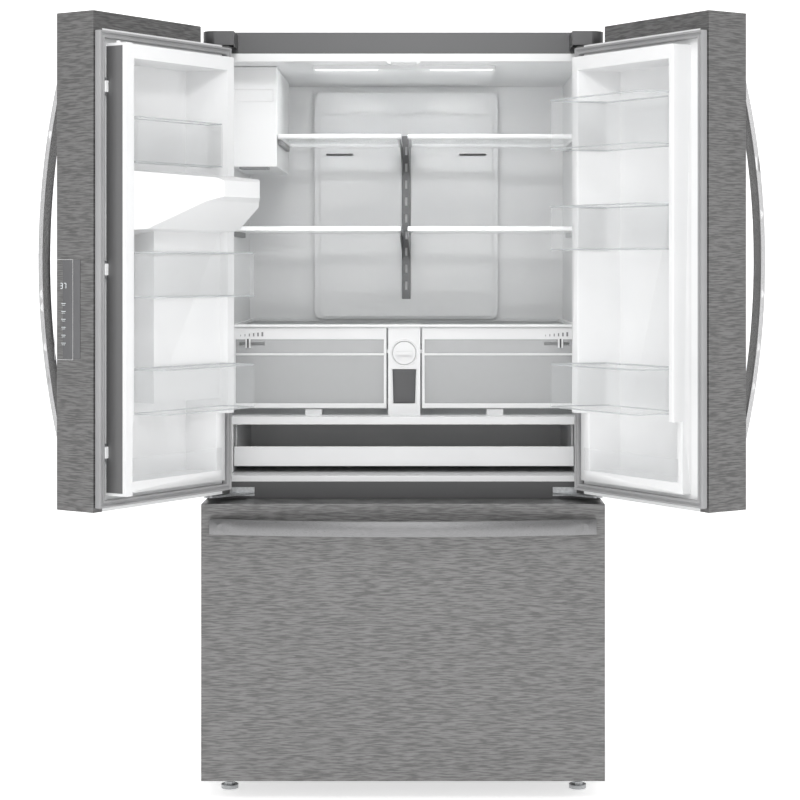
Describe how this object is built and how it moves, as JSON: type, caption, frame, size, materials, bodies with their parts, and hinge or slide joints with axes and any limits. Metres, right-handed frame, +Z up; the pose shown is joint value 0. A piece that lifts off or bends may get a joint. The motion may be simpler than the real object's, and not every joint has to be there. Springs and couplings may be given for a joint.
{
  "type": "french door refrigerator",
  "caption": "Tall refrigerator with a pair of outward swinging doors over a pull-out freezer drawer, with door bins, glass shelves, crispers, ice maker and water dispenser.",
  "frame": {"origin": "centre of the bounding box at the floor, with both doors open", "axes": "+X to the right seen from the front, +Y to the back, +Z up"},
  "size_m": [1.5524, 1.2394, 1.745],
  "materials": {
    "stainless": "brushed",
    "dark_steel": "satin",
    "galvanised": "satin",
    "bright_metal": "polished",
    "handle_metal": "brushed",
    "aluminium": "satin",
    "white_plastic": "gloss",
    "clear_plastic": "clear",
    "shelf_glass": "clear",
    "foam": "matt",
    "gasket": "matt",
    "black_plastic": "matt",
    "motor_black": "satin"
  },
  "bodies": {
    "cabinet": {"cabinet_shell": "dark_steel", "rear_panel": "galvanised", "cabinet_foam": "foam", "fridge_liner": "white_plastic", "freezer_liner": "white_plastic", "ceiling_fittings": "white_plastic", "air_duct_cover": "white_plastic", "shelf_supports": "galvanised", "shelf_trims": "white_plastic", "shelf_glass": "shelf_glass", "drawer_surrounds": "white_plastic", "filter_housing": "white_plastic", "ice_housing": "white_plastic", "hinge_brackets": "galvanised", "hinge_covers": "dark_steel", "hinge_screws": "galvanised", "machine_base": "galvanised", "compressor": "motor_black", "condenser": "motor_black", "evaporator": "aluminium", "water_valve": "white_plastic", "front_feet": "galvanised", "slide_outers": "galvanised"},
    "left_door": {"left_door_shell": "stainless", "left_door_foam": "foam", "left_door_liner": "white_plastic", "left_door_gasket": "gasket", "left_door_handle": "handle_metal", "left_door_bins": "clear_plastic", "dispenser_recess": "black_plastic", "control_panel": "black_plastic", "mullion_hinges": "galvanised"},
    "mullion": {"mullion_bar": "white_plastic"},
    "paddle": {"dispenser_paddle": "black_plastic"},
    "right_door": {"right_door_shell": "stainless", "right_door_foam": "foam", "right_door_liner": "white_plastic", "right_door_gasket": "gasket", "right_door_handle": "handle_metal", "right_door_bins": "clear_plastic"},
    "freezer_drawer": {"drawer_skin": "stainless", "drawer_foam": "foam", "drawer_liner": "white_plastic", "drawer_gasket": "gasket", "drawer_handle": "handle_metal", "drawer_frame": "galvanised", "freezer_basket": "white_plastic"},
    "freezer_tray": {"freezer_tray": "white_plastic"},
    "slide_middles": {"slide_middles": "galvanised"},
    "left_crisper": {"left_crisper": "clear_plastic"},
    "right_crisper": {"right_crisper": "clear_plastic"},
    "left_humidity": {"left_humidity": "black_plastic"},
    "right_humidity": {"right_humidity": "black_plastic"},
    "pantry_drawer": {"pantry_drawer": "white_plastic"},
    "ice_bin": {"ice_bin": "white_plastic"},
    "ice_auger": {"ice_auger": "bright_metal"},
    "water_filter": {"water_filter": "white_plastic"},
    "condenser_fan": {"condenser_fan": "black_plastic"},
    "evaporator_fan": {"evaporator_fan": "white_plastic"},
    "rear_rollers": {"rear_rollers": "black_plastic"}
  },
  "joints": [
    {"name": "left_door_hinge", "type": "hinge", "parent": "cabinet", "child": "left_door", "pos_m": [-0.445, -0.21235, 1.2], "axis": [0, 0, -1], "range_deg": [-123.3, 0]},
    {"name": "right_door_hinge", "type": "hinge", "parent": "cabinet", "child": "right_door", "pos_m": [0.445, -0.21235, 1.2], "axis": [0, 0, 1], "range_deg": [-123.3, 0]},
    {"name": "mullion_flip", "type": "hinge", "parent": "left_door", "child": "mullion", "pos_m": [-0.61656, -0.59738, 1.2], "axis": [0, 0, 1], "range_deg": [-90, 0]},
    {"name": "paddle_press", "type": "hinge", "parent": "left_door", "child": "paddle", "pos_m": [-0.50705, -0.38695, 1.264], "axis": [-0.549, -0.8358, 0], "range_deg": [0, 11], "stiffness_Nm_per_rad": 0.2},
    {"name": "freezer_drawer_slide", "type": "slide", "parent": "cabinet", "child": "freezer_drawer", "axis": [0, -1, 0], "range_m": [0, 0.43]},
    {"name": "slide_middles_slide", "type": "slide", "parent": "cabinet", "child": "slide_middles", "axis": [0, -1, 0], "range_m": [0, 0.215]},
    {"name": "freezer_tray_slide", "type": "slide", "parent": "cabinet", "child": "freezer_tray", "axis": [0, -1, 0], "range_m": [0, 0.215]},
    {"name": "left_crisper_slide", "type": "slide", "parent": "cabinet", "child": "left_crisper", "axis": [0, -1, 0], "range_m": [0, 0.2]},
    {"name": "right_crisper_slide", "type": "slide", "parent": "cabinet", "child": "right_crisper", "axis": [0, -1, 0], "range_m": [0, 0.2]},
    {"name": "left_humidity_slide", "type": "slide", "parent": "left_crisper", "child": "left_humidity", "axis": [-1, 0, 0], "range_m": [-0.033, 0.015]},
    {"name": "right_humidity_slide", "type": "slide", "parent": "right_crisper", "child": "right_humidity", "axis": [1, 0, 0], "range_m": [-0.033, 0.015]},
    {"name": "pantry_slide", "type": "slide", "parent": "cabinet", "child": "pantry_drawer", "axis": [0, -1, 0], "range_m": [0, 0.15]},
    {"name": "ice_bin_slide", "type": "slide", "parent": "cabinet", "child": "ice_bin", "axis": [0, -1, 0], "range_m": [0, 0.2]},
    {"name": "ice_auger_spin", "type": "hinge", "parent": "ice_bin", "child": "ice_auger", "pos_m": [-0.356, 0.00265, 1.503], "axis": [0, 1, 0], "continuous": true},
    {"name": "filter_turn", "type": "hinge", "parent": "cabinet", "child": "water_filter", "pos_m": [0, -0.00735, 1], "axis": [0, 1, 0], "range_deg": [0, 90]},
    {"name": "condenser_fan_spin", "type": "hinge", "parent": "cabinet", "child": "condenser_fan", "pos_m": [-0.21, 0.48065, 0.166], "axis": [1, 0, 0], "continuous": true},
    {"name": "evaporator_fan_spin", "type": "hinge", "parent": "cabinet", "child": "evaporator_fan", "pos_m": [0, 0.40265, 0.54], "axis": [0, 1, 0], "continuous": true},
    {"name": "roller_spin", "type": "hinge", "parent": "cabinet", "child": "rear_rollers", "pos_m": [0, 0.53765, 0.022], "axis": [1, 0, 0], "continuous": true}
  ],
  "couplings": [
    {"joint": "mullion_flip", "follows": "left_door_hinge", "ratio": 0.72993},
    {"joint": "slide_middles_slide", "follows": "freezer_drawer_slide", "ratio": 0.5},
    {"joint": "freezer_tray_slide", "follows": "freezer_drawer_slide", "ratio": 0.5}
  ]
}
